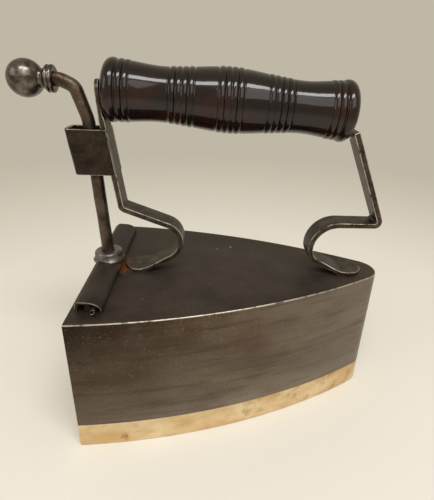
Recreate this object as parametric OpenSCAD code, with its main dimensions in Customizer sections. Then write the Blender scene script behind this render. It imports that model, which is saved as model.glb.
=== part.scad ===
// Box iron for lace: a curved steel box on a thick brass sole, with a lifting rear gate.
// Millimetres. +Z up, +X towards the nose, +Y to the left side seen from behind.
// The origin is the middle of the flat sole, on the face that the iron stands on.
// Modules draw with X = 0 at the rear edge of the box; placed() moves them to the origin.

/* [Box] */
// length of the box from rear edge to nose
body_len = 130; // [110:1:160]
// width of the box at its rear edge
body_w = 95.6; // [90:0.2:104]
// height of the box with its sole
body_h = 61; // [54:0.5:68]
// radius of the curved sides
side_r = 274; // [240:1:400]
// radius of the rounded nose
nose_r = 9.5; // [6:0.5:14]
// thickness of the side wall
wall_t = 2.5; // [2:0.1:3]
// thickness of the top plate
plate_t = 2.5; // [2:0.1:3]

/* [Sole] */
// thickness of the brass sole
sole_t = 11.5; // [9:0.5:14]
// height of the sole rim that stands inside the wall
rim_h = 4; // [3:0.5:6]
// thickness of the sole rim
rim_t = 3; // [2:0.5:4]
// depth of the pocket in the top of the sole
pocket_d = 4; // [2:0.5:6]
// how far the slug rests stand above the pocket edge
rest_rise = 0.5; // [0.2:0.1:1]
// width of each slug rest
rest_w = 6; // [4:1:9]
// diameter of the pins through wall and rim
pin_d = 2.5; // [2:0.1:3]

/* [Gate] */
// backward lean of the gate, the rod and the lift, in degrees
lift_lean = 2.96; // [0:0.1:3.5]
// distance of the rod from the rear edge, at the top of the box
rod_x = 7.0; // [6.4:0.1:7.6]
// thickness of the gate plate
gate_t = 2.2; // [1.8:0.1:2.6]
// width of the gate plate
gate_w = 77; // [74:0.5:78]
// running clearance on each side of the gate
gate_gap = 0.3; // [0.25:0.05:0.5]
// depth of the guide groove in each guide bar
groove_d = 2.8; // [2:0.1:3.2]
// thickness of each guide bar behind the rod line
guide_back = 4.8; // [4.4:0.1:5.4]
// thickness of each guide bar in front of the rod line
guide_front = 5.6; // [5:0.1:7]
// diameter of the rivets that hold the guide bars
guide_rivet_d = 2.2; // [1.8:0.1:2.4]
// distance of those rivets from the rear face of the bar
guide_rivet_x = 1.9; // [1.7:0.1:2.2]
// height of the lower rivet above the sole
guide_rivet_low = 10; // [7:0.5:14]
// height of the upper rivet above the sole
guide_rivet_high = 35; // [28:0.5:38]

/* [Gate cap] */
// how far the folded cap reaches past each end of the gate
cap_over = 1; // [0.6:0.1:2]
// height of the folded cap
cap_h = 4.3; // [4:0.1:5]
// width of the folded cap
cap_w = 10.2; // [9.6:0.1:10.6]
// how far the cap reaches behind the rod line
cap_back = 4.7; // [4.3:0.1:5]
// thickness of the cap sheet
cap_t = 0.9; // [0.7:0.1:1.2]
// how far the rolled hem sticks out at each end of the cap
hem_out = 2.2; // [1:0.2:3]
// outside diameter of the rolled hem
hem_d = 2.5; // [2.2:0.1:2.6]
// sheet thickness of the rolled hem
hem_t = 0.65; // [0.5:0.05:0.8]
// gap between the cap and the top plate at rest
rest_gap = 0.2; // [0.15:0.05:0.3]

/* [Boss, rod and knob] */
// diameter of the boss
boss_d = 12.2; // [11:0.1:12.4]
// height of the boss top above the top plate
boss_top = 7.7; // [6.5:0.1:9]
// diameter of the lift rod
rod_d = 5.2; // [4.6:0.1:5.4]
// length of the straight part of the rod, from the top plate
rod_straight = 62.6; // [60:0.1:66]
// radius of the lower rod bend
rod_low_r = 16; // [12:0.5:20]
// length of the rod between its bends
rod_mid = 8.2; // [6:0.1:10]
// radius of the upper rod bend
rod_high_r = 4.8; // [4:0.1:6]
// length of the rod after its upper bend
rod_short = 2; // [1:0.1:3]
// radius of the last rod bend, where it turns level
rod_end_r = 8; // [6:0.5:10]
// how deep the rod's foot reaches into the cap, above the top plate
rod_foot = 0.9; // [0.8:0.1:1.2]
// diameter of the knob ball
ball_d = 14; // [12:0.2:16]
// distance from the collar to the middle of the ball
ball_reach = 7.7; // [7.4:0.1:9]
// diameter of the knob collar
collar_d = 10.2; // [9:0.1:12]
// thickness of the knob collar
collar_t = 3.3; // [2.5:0.1:4]

/* [Brackets] */
// width of the bracket bars
bar_w = 10; // [9:0.1:10.4]
// thickness of the bracket bars
bar_t = 2.4; // [2:0.1:2.7]
// backward lean of the rear pillar, in degrees
rear_lean = 8; // [7:0.1:8.4]
// backward lean of the front pillar, in degrees
front_lean = 23.8; // [23:0.1:24.5]
// distance of the rear foot from the rear edge of the box
rear_foot_x = 20.6; // [20:0.1:24]
// diameter of the round rear foot
rear_foot_d = 13; // [12:0.2:13.4]
// length of the sloping foot run of the rear bracket
rear_run = 14.4; // [13:0.1:18]
// slope of that foot run, in degrees
rear_rise = 25; // [22:0.5:28]
// middle radius of the rear curl
rear_curl_r = 8.5; // [7.5:0.1:9.5]
// length of the upper run of the rear bracket
rear_upper = 19.4; // [18:0.1:22]
// slope of that upper run, in degrees
rear_top_slope = 20.5; // [18:0.5:24]
// bend radius at the foot of the rear pillar
rear_bend_r = 2.2; // [1.8:0.1:3]
// distance of the front foot from the nose
front_foot_in = 14.6; // [14:0.2:24]
// diameter of the round front foot
front_foot_d = 14.4; // [13:0.2:15]
// length of the sloping foot run of the front bracket
front_run = 13.9; // [12:0.1:15]
// slope of that foot run, in degrees
front_rise = 22; // [20:0.5:26]
// middle radius of the lower half of the front curl
front_low_r = 6.8; // [6:0.1:8]
// middle radius of the upper half of the front curl
front_high_r = 11.6; // [10:0.1:13]
// bend radius at the foot of the front pillar
front_bend_r = 1.9; // [1.6:0.1:2.6]
// distance of the square end of the front pillar below the handle axis
shoulder_drop = 7.2; // [6.4:0.1:8]
// distance of the end of the rear pillar below the handle axis
pillar_drop = 12; // [11:0.1:13]
// thickness of the flattened bracket ends against the handle
tongue_t = 1.7; // [1.4:0.1:2.2]
// width of the flattened end of the rear bracket
tongue_rear_w = 9; // [8:0.1:10]
// width of the flattened end of the front bracket
tongue_front_w = 7.4; // [6.8:0.1:9]
// thickness of the round feet
foot_t = 1.5; // [1.2:0.1:2]
// shank diameter of the foot rivets
foot_rivet_d = 4; // [3:0.1:4.5]

/* [Guide loop] */
// outer length of the loop, from its closed end to the front of the pillar
loop_l = 16.6; // [16:0.1:17]
// sheet thickness of the loop
loop_t = 1.2; // [1:0.1:1.4]
// height of the loop
loop_h = 18; // [16:0.5:19]
// height of the lower edge of the loop above the top plate
loop_z = 43.4; // [43:0.1:46]
// outer corner radius of the closed end
loop_r = 2.8; // [2:0.1:3.4]

/* [Handle] */
// length of the wooden handle
grip_l = 96.4; // [94:0.2:100]
// diameter of the end beads
grip_bead_d = 23.6; // [22:0.1:24.4]
// diameter of the rear neck
grip_neck_rear_d = 20.4; // [19:0.1:21]
// diameter of the belly
grip_belly_d = 24.2; // [23:0.1:25]
// diameter of the front neck
grip_neck_front_d = 19.6; // [18.6:0.1:20.4]
// downward slope of the handle towards the nose, in degrees
grip_slope = 3.5; // [2.5:0.1:4.5]
// height of the handle's rear end above the top plate, on its axis
grip_z = 75.6; // [74:0.1:78]
// length of the end beads
bead_l = 4.9; // [4.4:0.1:5.4]
// distance of the rear neck from the rear end
neck_rear_u = 21.5; // [20:0.5:23]
// distance of the belly from the rear end
belly_u = 48; // [46:0.5:50]
// distance of the front neck from the front end
neck_front_u = 19.6; // [18:0.2:21]
// diameter of the grip beside the end beads
grip_shaft_d = 22; // [21:0.1:22.6]
// distance between turned rings
ring_pitch = 2.35; // [2:0.05:2.6]
// distance of the rear ring group from the rear end
ring_rear_u = 25.6; // [24:0.2:27]
// distance of the middle ring group from the rear end
ring_mid_u = 43.9; // [42:0.2:46]
// distance of the front ring group from the rear end
ring_front_u = 62.8; // [61:0.2:65]
// diameter of the iron spindle through the handle
spindle_d = 4.6; // [4:0.1:5]
// depth of the turned ring grooves
ring_depth = 0.6; // [0.3:0.1:0.8]
// width of the turned ring grooves
ring_w = 1.1; // [0.8:0.1:1.4]

/* [Slug] */
// height of the iron slug
slug_h = 29; // [24:1:31]
// distance between the slug and the outside of the box
slug_in = 14; // [13.5:0.5:18]
// gap between the guide bars and the slug
slug_gap = 4.4; // [3:0.2:8]
// diameter of the hook hole in the slug
slug_hole_d = 8; // [6:0.5:10]

/* [Hidden] */
$fn = 96;
e = 0.5; // overrun of cutting shapes
fit = 0.05; // radial clearance of fixed pins, rivets and rods
// centre of the side arc that passes through the rear corner and touches the nose arc
half_w = body_w / 2;
nose_x = body_len - nose_r;
cd = sqrt(nose_x * nose_x + half_w * half_w);
ca = (side_r * side_r - (side_r - nose_r) * (side_r - nose_r) + cd * cd) / (2 * cd);
ch = sqrt(side_r * side_r - ca * ca);
arc_x = ca * nose_x / cd - ch * half_w / cd;
arc_y = half_w - ca * half_w / cd - ch * nose_x / cd;
// heights
top_z = body_h;
under_z = body_h - plate_t;
rest_z = sole_t + rest_rise;
guide_in = gate_w / 2 + gate_gap - groove_d;
guide_x = rod_x - guide_back;
guide_l = guide_back + guide_front;
cap_x = rod_x - cap_back;
cap_l = gate_w + 2 * cap_over;
front_foot_x = body_len - front_foot_in;
slug_x = guide_x + guide_l + slug_gap;
// walks along a bent bar in the X-Z plane: returns [x, z, heading] at its end
function walk(p, steps, i = 0) = i >= len(steps) ? p : walk(
  steps[i][2] == 0 ?
    [p[0] + steps[i][0] * sin(p[2]), p[1] + steps[i][0] * cos(p[2]), p[2]] :
    (steps[i][2] > 0 ?
      [p[0] + steps[i][1] * (cos(p[2]) - cos(p[2] + steps[i][2])),
       p[1] - steps[i][1] * (sin(p[2]) - sin(p[2] + steps[i][2])), p[2] + steps[i][2]] :
      [p[0] - steps[i][1] * (cos(p[2]) - cos(p[2] + steps[i][2])),
       p[1] + steps[i][1] * (sin(p[2]) - sin(p[2] + steps[i][2])), p[2] + steps[i][2]]),
  steps, i + 1);
// rear bracket, on the middle line of the bar, heights from the top plate
sunk = 4; // start of each bar below the plate, cut away there
rear_start = [rear_foot_x + 1.3, 0, 90 - rear_rise];
rear_low = [[rear_run, 0, 0], [0, rear_curl_r, -180 + rear_rise + rear_top_slope],
  [rear_upper, 0, 0], [0, rear_bend_r, 90 - rear_top_slope - rear_lean]];
rear_foot_end = walk(rear_start, rear_low);
rear_pillar = (grip_z - pillar_drop - rear_foot_end[1]) / cos(rear_lean);
rear_end = walk(rear_start, concat(rear_low, [[rear_pillar, 0, 0]]));
bead_round = 4.6; // rounding of the handle ends
lap = 0.1; // how far a straight run reaches into the bends beside it
swell = 0.04; // how much thicker the bends are
// handle axis: its rear end face lies on the flattened end of the rear bracket
grip_x = rear_end[0] - bar_t / (2 * cos(rear_lean)) + tongue_t + pillar_drop * tan(grip_slope);
grip_end_x = grip_x + grip_l * cos(grip_slope);
grip_end_z = grip_z - grip_l * sin(grip_slope);
// front bracket, on the middle line of the bar, heights from the top plate
front_start = [front_foot_x - 0.9, 0, -90 + front_rise];
front_low = [[front_run, 0, 0], [0, front_low_r, 90 - front_rise], [0.2, 0, 0],
  [0, front_high_r, 90]];
front_mid = walk(front_start, front_low);
front_corner = walk(front_mid, [[0, front_bend_r, -90 - front_lean]]);
front_pillar = (grip_end_z - shoulder_drop - front_corner[1]) / cos(front_lean);
front_top_x = grip_end_x - shoulder_drop * tan(grip_slope) + tongue_t
  + bar_t / (2 * cos(front_lean)) - 0.6;
front_upper = front_top_x + front_pillar * sin(front_lean) - front_corner[0];
// front face of the rear pillar, at the lower edge of the loop
pillar_x = rear_foot_end[0] - (loop_z - rear_foot_end[1]) * tan(rear_lean)
  + bar_t / (2 * cos(rear_lean));

module placed() translate([-body_len / 2, 0, 0]) children();

// outline of the box seen from above, moved inwards by i
module outline(i = 0) {
  tx = arc_x + (side_r - i) * (nose_x - arc_x) / (side_r - nose_r);
  intersection() {
    translate([arc_x, arc_y]) circle(r = side_r - i, $fn = 360);
    translate([arc_x, -arc_y]) circle(r = side_r - i, $fn = 360);
    translate([0, -body_w]) square([i < nose_r ? tx : body_len, 2 * body_w]);
  }
  if (i < nose_r) translate([nose_x, 0]) circle(r = nose_r - i);
}

// bends of the rod above its straight part; the knob stands level on its end
rod_bends = [[0, rod_low_r, 15], [rod_mid, 0, 0], [0, rod_high_r, 47], [rod_short, 0, 0],
  [0, rod_end_r, 28 - lift_lean]];
rod_end = walk([0, 0, 0], [for (b = rod_bends) [b[0], b[1], -b[2]]]);

// frame that leans back with the lift, its origin on the rod at the top of the box
module leaning() translate([rod_x, 0, top_z]) rotate([0, -lift_lean, 0]) children();

// one step of a bent bar: [straight length, bend radius, bend angle]
// the bends are a hair thicker than the straight runs that reach into them
module bent_bar(steps, t, w, i = 0) {
  if (i < len(steps)) {
    s = steps[i];
    if (s[2] == 0) {
      translate([-t / 2, -w / 2, -lap]) cube([t, w, s[0] + 2 * lap]);
      translate([0, 0, s[0]]) bent_bar(steps, t, w, i + 1);
    } else {
      side = s[2] > 0 ? 1 : -1;
      a = abs(s[2]);
      translate([side * s[1], 0, 0]) rotate([90, 0, 0])
        rotate([0, 0, side > 0 ? 180 - a : 0]) rotate_extrude(angle = a)
        translate([s[1], 0]) square([t + swell, w + swell], center = true);
      translate([side * s[1] * (1 - cos(a)), 0, s[1] * sin(a)]) rotate([0, s[2], 0])
        bent_bar(steps, t, w, i + 1);
    }
  }
}

// the same for a round rod
module bent_rod(steps, d, i = 0) {
  if (i < len(steps)) {
    s = steps[i];
    if (s[2] == 0) {
      translate([0, 0, -lap]) cylinder(d = d, h = s[0] + 2 * lap, $fn = 48);
      translate([0, 0, s[0]]) bent_rod(steps, d, i + 1);
    } else {
      translate([-s[1], 0, 0]) rotate([90, 0, 0]) rotate_extrude(angle = s[2])
        translate([s[1], 0]) circle(d = d + swell, $fn = 48);
      translate([-s[1] * (1 - cos(s[2])), 0, s[1] * sin(s[2])]) rotate([0, -s[2], 0])
        bent_rod(steps, d, i + 1);
    }
  }
}

// frame on the handle axis, Z along the handle from its rear end to its front end
module on_grip() translate([grip_x, 0, top_z + grip_z]) rotate([0, 90 + grip_slope, 0]) children();

// radius of the turned handle between its beads
function ease(a, b, t) = a + (b - a) * (1 - cos(180 * t)) / 2;
function grip_r(u) =
  u < neck_rear_u ?
    ease(grip_shaft_d / 2 + 0.3, grip_neck_rear_d / 2, (u - bead_l) / (neck_rear_u - bead_l)) :
  u < belly_u ?
    ease(grip_neck_rear_d / 2, grip_belly_d / 2, (u - neck_rear_u) / (belly_u - neck_rear_u)) :
  u < grip_l - neck_front_u ?
    ease(grip_belly_d / 2, grip_neck_front_d / 2,
      (u - belly_u) / (grip_l - neck_front_u - belly_u)) :
  ease(grip_neck_front_d / 2, grip_shaft_d / 2,
    (u - grip_l + neck_front_u) / (neck_front_u - bead_l));

module sole_plate() color([0.80, 0.62, 0.28]) placed() {
  difference() {
    linear_extrude(sole_t) outline();
    translate([0, 0, sole_t - pocket_d]) linear_extrude(pocket_d + e) intersection() {
      outline(9);
      translate([guide_x + guide_l + 2, -body_w]) square([body_len, 2 * body_w]);
    }
  }
  // rests that carry the slug
  for (x = [0.23, 0.46, 0.69] * body_len) translate([x, 0, sole_t - pocket_d - e])
    linear_extrude(pocket_d + rest_rise + e) intersection() {
      translate([-rest_w / 2, -body_w]) square([rest_w, 2 * body_w]);
      translate([-x, 0]) outline(8.5);
    }
  // rim inside the wall, behind it open for the slug
  difference() {
    translate([0, 0, sole_t - e]) linear_extrude(rim_h + e) intersection() {
      difference() {
        outline(wall_t + 0.02);
        outline(wall_t + rim_t);
      }
      translate([guide_x + guide_l + 2, -body_w]) square([body_len, 2 * body_w]);
    }
    pin_places(pin_d + 2 * fit);
  }
}

module pin_places(d) for (x = [0.185, 0.477, 0.738] * body_len, s = [-1, 1])
  translate([x, 0, sole_t + rim_h / 2]) rotate([-90 * s, 0, 0]) cylinder(d = d, h = body_w);

module sole_pins() color([0.32, 0.29, 0.26]) placed() intersection() {
  pin_places(pin_d);
  linear_extrude(body_h) difference() {
    outline();
    outline(wall_t + rim_t);
  }
}

module rivet_places(d) for (h = [guide_rivet_low, guide_rivet_high], s = [-1, 1])
  translate([guide_x + guide_rivet_x, 0, sole_t + h]) rotate([-90 * s, 0, 0])
    cylinder(d = d, h = body_w, $fn = 48);

module side_wall() color([0.30, 0.27, 0.24]) placed() difference() {
  translate([0, 0, sole_t]) linear_extrude(body_h - sole_t) difference() {
    outline();
    outline(wall_t);
    translate([-e, -body_w / 2 + 2 * wall_t]) square([5, body_w - 4 * wall_t]);
  }
  pin_places(pin_d + 2 * fit);
  rivet_places(guide_rivet_d + 2 * fit);
}

module gate_space(w, t) leaning() translate([-t / 2, -w / 2, -body_h]) cube([t, w, body_h + 10]);

module top_plate() color([0.24, 0.21, 0.19]) placed() difference() {
  translate([0, 0, under_z]) linear_extrude(plate_t) outline(wall_t + 0.01);
  gate_space(gate_w + 2 * gate_gap, gate_t + 2 * gate_gap);
  for (x = [rear_foot_x, front_foot_x]) translate([x, 0, under_z - e])
    cylinder(d = foot_rivet_d + 2 * fit, h = plate_t + 2 * e, $fn = 48);
}

module gate_guide(s) color([0.28, 0.25, 0.23]) placed() difference() {
  translate([0, 0, sole_t]) linear_extrude(under_z - sole_t) intersection() {
    outline(wall_t + 0.02);
    translate([guide_x, s > 0 ? guide_in : -body_w]) square([guide_l, body_w - guide_in]);
  }
  gate_space(gate_w + 2 * gate_gap, gate_t + 2 * gate_gap);
  rivet_places(guide_rivet_d + 2 * fit);
}
module gate_guide_left() gate_guide(1);
module gate_guide_right() gate_guide(-1);

module guide_rivets() color([0.30, 0.27, 0.24]) placed() intersection() {
  rivet_places(guide_rivet_d);
  linear_extrude(body_h) difference() {
    outline();
    translate([-e, -guide_in]) square([body_len, 2 * guide_in]);
  }
}

// gate plate that closes the rear opening; its top edge stands inside the folded cap
module gate() color([0.27, 0.24, 0.22]) placed() difference() {
  leaning() translate([-gate_t / 2, -gate_w / 2, -(top_z - sole_t)])
    cube([gate_t, gate_w, top_z - sole_t + cap_h - cap_t - 0.05]);
  cube([4 * body_w, 4 * body_w, 2 * (sole_t + gate_gap)], center = true);
}

// arched section of the cap: rear leg, flat top and a front that curves down
function arch(w, h, o, n = 9) = concat(
  [[o, 0]],
  [for (k = [0 : n]) [o + 1.9 - 1.9 * cos(90 * k / n), h - 1.9 + 1.9 * sin(90 * k / n)]],
  [for (k = [0 : n]) [o + 4.2 + (w - 4.2) * sin(90 * k / n), (h - 0.1) * pow(cos(90 * k / n), 0.9)]]);

module gate_cap() color([0.26, 0.23, 0.21]) placed() difference() {
  translate([0, cap_l / 2, top_z + rest_gap]) rotate([90, 0, 0]) linear_extrude(cap_l)
    difference() {
      polygon(arch(cap_w, cap_h, cap_x));
      translate([0, -0.01]) polygon(arch(cap_w - 2 * cap_t, cap_h - cap_t, cap_x + cap_t));
    }
  leaning() cylinder(d = rod_d + 2 * fit, h = 4 * rod_d, $fn = 48);
}

// rolled hem under the cap: a C of sheet in front of the gate
module cap_hem() color([0.36, 0.34, 0.32]) placed() difference() {
  translate([0, cap_l / 2 + hem_out, top_z + rest_gap]) rotate([90, 0, 0])
    linear_extrude(cap_l + 2 * hem_out)
      translate([rod_x + (gate_t + hem_d) / 2 + 0.1, hem_d / 2 + 0.05]) difference() {
        circle(d = hem_d, $fn = 48);
        circle(d = hem_d - 2 * hem_t, $fn = 48);
        translate([-hem_d, -hem_t * 0.6]) square([hem_d, hem_t * 1.2]);
      }
  leaning() translate([0, 0, -1]) cylinder(d = rod_d + 2 * fit, h = 4 * rod_d, $fn = 48);
}

module gate_boss() color([0.45, 0.43, 0.41]) placed() difference() {
  leaning() rotate_extrude() polygon([
    [rod_d / 2 + fit, 2.6], [boss_d / 2 + 0.55, 2.6], [boss_d / 2 + 0.45, 3.3],
    [boss_d / 2 + 0.1, 4.2], [boss_d / 2, 5], [boss_d / 2, boss_top - 0.7],
    [boss_d / 2 - 0.7, boss_top], [rod_d / 2 + fit, boss_top]]);
  // underside follows the cap
  translate([0, cap_l, top_z + rest_gap]) rotate([90, 0, 0]) linear_extrude(2 * cap_l)
    polygon(arch(cap_w, cap_h, cap_x));
}

module lift_rod() color([0.36, 0.30, 0.26]) placed() difference() {
  leaning() translate([0, 0, rod_foot]) bent_rod(concat([[rod_straight - rod_foot, 0, 0]],
    rod_bends, [[collar_t - 0.4, 0, 0]]), rod_d);
  // fork that straddles the gate plate
  leaning() translate([-gate_t / 2 - 0.01, -2 * rod_d, -1])
    cube([gate_t + 0.02, 4 * rod_d, cap_h - cap_t + 1.05]);
}

module knob() color([0.42, 0.41, 0.40]) placed()
  leaning() translate([rod_end[0], 0, rod_straight + rod_end[1]]) rotate([0, rod_end[2], 0])
    rotate_extrude() difference() {
      union() {
        translate([0, collar_t + ball_reach]) circle(d = ball_d);
        square([3.7, collar_t + ball_reach]);
        square([(collar_d - collar_t) / 2, collar_t]);
        translate([(collar_d - collar_t) / 2, collar_t / 2]) circle(d = collar_t, $fn = 48);
      }
      translate([-ball_d, -ball_d]) square([ball_d, 4 * ball_d]);
      translate([0, -e]) square([rod_d / 2 + fit, collar_t - 0.1 + e]);
    }

module guide_loop() color([0.22, 0.20, 0.18]) placed() intersection() {
  translate([pillar_x, 0, top_z + loop_z]) rotate([0, -rear_lean, 0])
    translate([0, 0, -12]) linear_extrude(loop_h + 24) difference() {
      loop_plan(loop_l, bar_w / 2 + loop_t, loop_r);
      loop_plan(loop_l - loop_t, bar_w / 2 + 0.02, loop_r - loop_t);
    }
  translate([-50, -50, top_z + loop_z]) cube([100, 100, loop_h]);
}

module loop_plan(l, w, r) {
  translate([-l + r, -w]) square([l - r + (r < loop_r ? e : 0), 2 * w]);
  translate([-l, -w + r]) square([r + e, 2 * (w - r)]);
  for (s = [-1, 1]) translate([-l + r, s * (w - r)]) circle(r = r, $fn = 48);
}

module rear_bracket() color([0.27, 0.24, 0.21]) placed() difference() {
  union() {
    intersection() {
      translate([rear_start[0], 0, top_z]) rotate([0, rear_start[2], 0])
        translate([0, 0, -sunk]) bent_bar(concat([[sunk, 0, 0]], rear_low,
          [[rear_pillar, 0, 0]]), bar_t, bar_w);
      translate([-50, -50, top_z]) cube([150, 100, 100]);
    }
    translate([rear_foot_x, 0, top_z]) cylinder(d = rear_foot_d, h = foot_t);
    on_grip() translate([0, 0, -tongue_t]) linear_extrude(tongue_t) {
      circle(d = tongue_rear_w);
      translate([0, -tongue_rear_w / 2]) square([pillar_drop + 2.5, tongue_rear_w]);
    }
  }
  on_grip() translate([0, 0, -10]) cylinder(d = spindle_d + 2 * fit, h = 12, $fn = 48);
  translate([rear_foot_x, 0, top_z - 1]) cylinder(d = foot_rivet_d + 2 * fit, h = 8, $fn = 48);
}

module front_bracket() color([0.27, 0.24, 0.21]) placed() difference() {
  union() {
    intersection() {
      translate([front_start[0], 0, top_z]) rotate([0, front_start[2], 0])
        translate([0, 0, -sunk]) bent_bar(concat([[sunk, 0, 0]], front_low,
          [[front_upper, 0, 0], [0, front_bend_r, -90 - front_lean],
          [front_pillar, 0, 0]]), bar_t, bar_w);
      translate([50, -50, top_z]) cube([150, 100, 100]);
    }
    translate([front_foot_x, 0, top_z]) cylinder(d = front_foot_d, h = foot_t);
    on_grip() translate([0, 0, grip_l]) linear_extrude(tongue_t) {
      circle(d = tongue_front_w);
      translate([0, -tongue_front_w / 2]) square([shoulder_drop + 2.4, tongue_front_w]);
    }
  }
  on_grip() translate([0, 0, grip_l - 2]) cylinder(d = spindle_d + 2 * fit, h = 12, $fn = 48);
  translate([front_foot_x, 0, top_z - 1]) cylinder(d = foot_rivet_d + 2 * fit, h = 9, $fn = 48);
}

// flush rivets that hold the two feet, with flat heads under the top plate
module foot_rivets() color([0.27, 0.24, 0.21]) placed() for (x = [rear_foot_x, front_foot_x])
  translate([x, 0, under_z]) {
    cylinder(d = foot_rivet_d, h = plate_t + foot_t, $fn = 48);
    translate([0, 0, -1.6]) cylinder(d = 2 * foot_rivet_d, h = 1.6, $fn = 48);
  }

module handle() color([0.20, 0.08, 0.05]) placed() on_grip() difference() {
  rotate_extrude() polygon(concat(
    [for (k = [0 : 6]) [grip_bead_d / 2 - bead_round * (1 - sin(15 * k)),
      bead_l * 0.75 * (1 - cos(15 * k))]],
    [[grip_bead_d / 2, bead_l - 0.4]],
    [for (u = [bead_l : 2.4 : grip_l - bead_l]) [grip_r(u), u]],
    [[grip_r(grip_l - bead_l), grip_l - bead_l], [grip_bead_d / 2, grip_l - bead_l + 0.4]],
    [for (k = [6 : -1 : 0]) [grip_bead_d / 2 - bead_round * (1 - sin(15 * k)),
      grip_l - bead_l * 0.75 * (1 - cos(15 * k))]],
    [[0, grip_l], [0, 0]]));
  // turned ring grooves in five groups
  for (g = [[bead_l + 1.4, 2], [ring_rear_u, 5], [ring_mid_u, 5], [ring_front_u, 5],
    [grip_l - bead_l - 1.4 - ring_pitch, 2]], k = [0 : g[1] - 1])
    ring_groove(g[0] + k * ring_pitch);
  translate([0, 0, -1]) cylinder(d = spindle_d + 2 * fit, h = grip_l + 2, $fn = 48);
}

module ring_groove(u) rotate_extrude() polygon([
  [grip_r(u) - ring_depth, u], [grip_r(u) + 0.4, u - ring_w], [grip_r(u) + 0.4, u + ring_w]]);

module handle_spindle() color([0.27, 0.24, 0.21]) placed() on_grip() {
  translate([0, 0, -tongue_t]) cylinder(d = spindle_d, h = grip_l + 2 * tongue_t, $fn = 48);
  for (z = [-tongue_t - 0.5, grip_l + tongue_t]) translate([0, 0, z])
    cylinder(d = spindle_d + 2, h = 0.5, $fn = 48);
}

module slug() color([0.22, 0.20, 0.19]) placed() difference() {
  translate([0, 0, rest_z]) linear_extrude(slug_h) intersection() {
    slug_outline();
    translate([slug_x, -body_w]) square([body_len, 2 * body_w]);
  }
  translate([slug_x + 16, 0, rest_z - 1]) cylinder(d = slug_hole_d, h = slug_h + 2);
}

module slug_outline() intersection() {
  translate([arc_x, arc_y]) circle(r = side_r - slug_in, $fn = 360);
  translate([arc_x, -arc_y]) circle(r = side_r - slug_in, $fn = 360);
  translate([0, -body_w]) square([nose_x - 16, 2 * body_w]);
}

sole_plate();
sole_pins();
side_wall();
top_plate();
gate_guide_left();
gate_guide_right();
guide_rivets();
gate();
gate_cap();
cap_hem();
gate_boss();
lift_rod();
knob();
guide_loop();
rear_bracket();
front_bracket();
foot_rivets();
handle();
handle_spindle();
slug();
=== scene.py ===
# %% [markdown]
# # A box iron for lace
#
# This lesson dresses a small box iron: a curved sheet steel box on a thick brass sole.
# A hot iron slug goes in at the rear, behind a gate that lifts on a rod with a steel ball.
# A turned wooden handle stands over the box on two scrolled bars of wrought iron.
# The solids come from a drawing and stay where they are. Each cell makes one piece over
# its solid, or one finish, and says why it is made that way.

# %% Load the solids
from math import radians, sin, cos, tan, atan2, sqrt, pi

import bmesh
import bpy
from mathutils import Matrix, Vector, noise


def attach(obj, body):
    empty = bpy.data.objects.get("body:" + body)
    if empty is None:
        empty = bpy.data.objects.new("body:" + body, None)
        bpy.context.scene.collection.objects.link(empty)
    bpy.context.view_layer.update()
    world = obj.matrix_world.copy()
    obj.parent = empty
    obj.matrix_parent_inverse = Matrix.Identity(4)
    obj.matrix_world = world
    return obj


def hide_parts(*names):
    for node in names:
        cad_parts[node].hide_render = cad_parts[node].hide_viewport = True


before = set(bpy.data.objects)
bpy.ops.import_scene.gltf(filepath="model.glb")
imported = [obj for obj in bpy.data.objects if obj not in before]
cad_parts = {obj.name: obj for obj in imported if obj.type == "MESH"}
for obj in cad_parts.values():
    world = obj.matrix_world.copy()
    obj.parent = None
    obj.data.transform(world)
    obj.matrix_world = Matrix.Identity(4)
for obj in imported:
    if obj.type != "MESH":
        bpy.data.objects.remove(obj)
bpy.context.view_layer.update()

# %% [markdown]
# ## Lengths
#
# Blender works in metres, and an iron is easier to think about in millimetres.
# The drawing measures forward from the rear edge of the box, so `at` takes such a place
# and gives the point in the shared frame, whose origin is the middle of the sole.

# %% Millimetres and places
BODY_LEN, BODY_W, TOP_Z, SOLE_T = 130.0, 95.6, 61.0, 11.5


def mm(length):
    return length / 1000


def at(x, y, z):
    return Vector((mm(x - BODY_LEN / 2), mm(y), mm(z)))


# %% [markdown]
# ## The camera
#
# The camera stands where the photograph was taken: low, close and a little behind the middle
# of the iron, looking down at it. Its place and angles were worked out from the straight edges
# and corners of the box, so the lens is given by its focal length in picture widths.

# %% Camera
YAW, PITCH, ROLL = 0.0264966, 0.4443803, 0.0298749
ahead = Vector((sin(YAW) * cos(PITCH), cos(YAW) * cos(PITCH), -sin(PITCH)))
level = Vector((cos(YAW), -sin(YAW), 0))
right = level * cos(ROLL) + level.cross(ahead) * sin(ROLL)
upward = level.cross(ahead) * cos(ROLL) - level * sin(ROLL)

camera_data = bpy.data.cameras.new("photo_camera")
camera_data.sensor_fit = "HORIZONTAL"
camera_data.sensor_width = 36
camera_data.lens = 36 * 408.3565 / 434
camera_data.clip_start = 0.01
camera = bpy.data.objects.new("photo_camera", camera_data)
bpy.context.scene.collection.objects.link(camera)
turn = Matrix((right, upward, -ahead)).transposed().to_4x4()
camera.matrix_world = Matrix.Translation(at(51.5009, -168.231, 149.4884)) @ turn
bpy.context.scene.camera = camera
print("lens", round(camera_data.lens, 2), "mm")

# %% [markdown]
# ## Helpers for materials
#
# Colours are written as sRGB hex, as a colour picker shows them, and the renderer wants
# linear light, so one function turns them. Another adds any node, sets its own settings,
# fills its sockets and links what feeds them. Patterns read Object coordinates, which here
# are real metres, multiplied by 1000 so that a scale of 1 means one pattern cell a millimetre.


# %% Colour and node helpers
def linear(code):
    parts = [int(code[i:i + 2], 16) / 255 for i in (1, 3, 5)]
    return [c / 12.92 if c <= 0.04045 else ((c + 0.055) / 1.055) ** 2.4 for c in parts] + [1]


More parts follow.
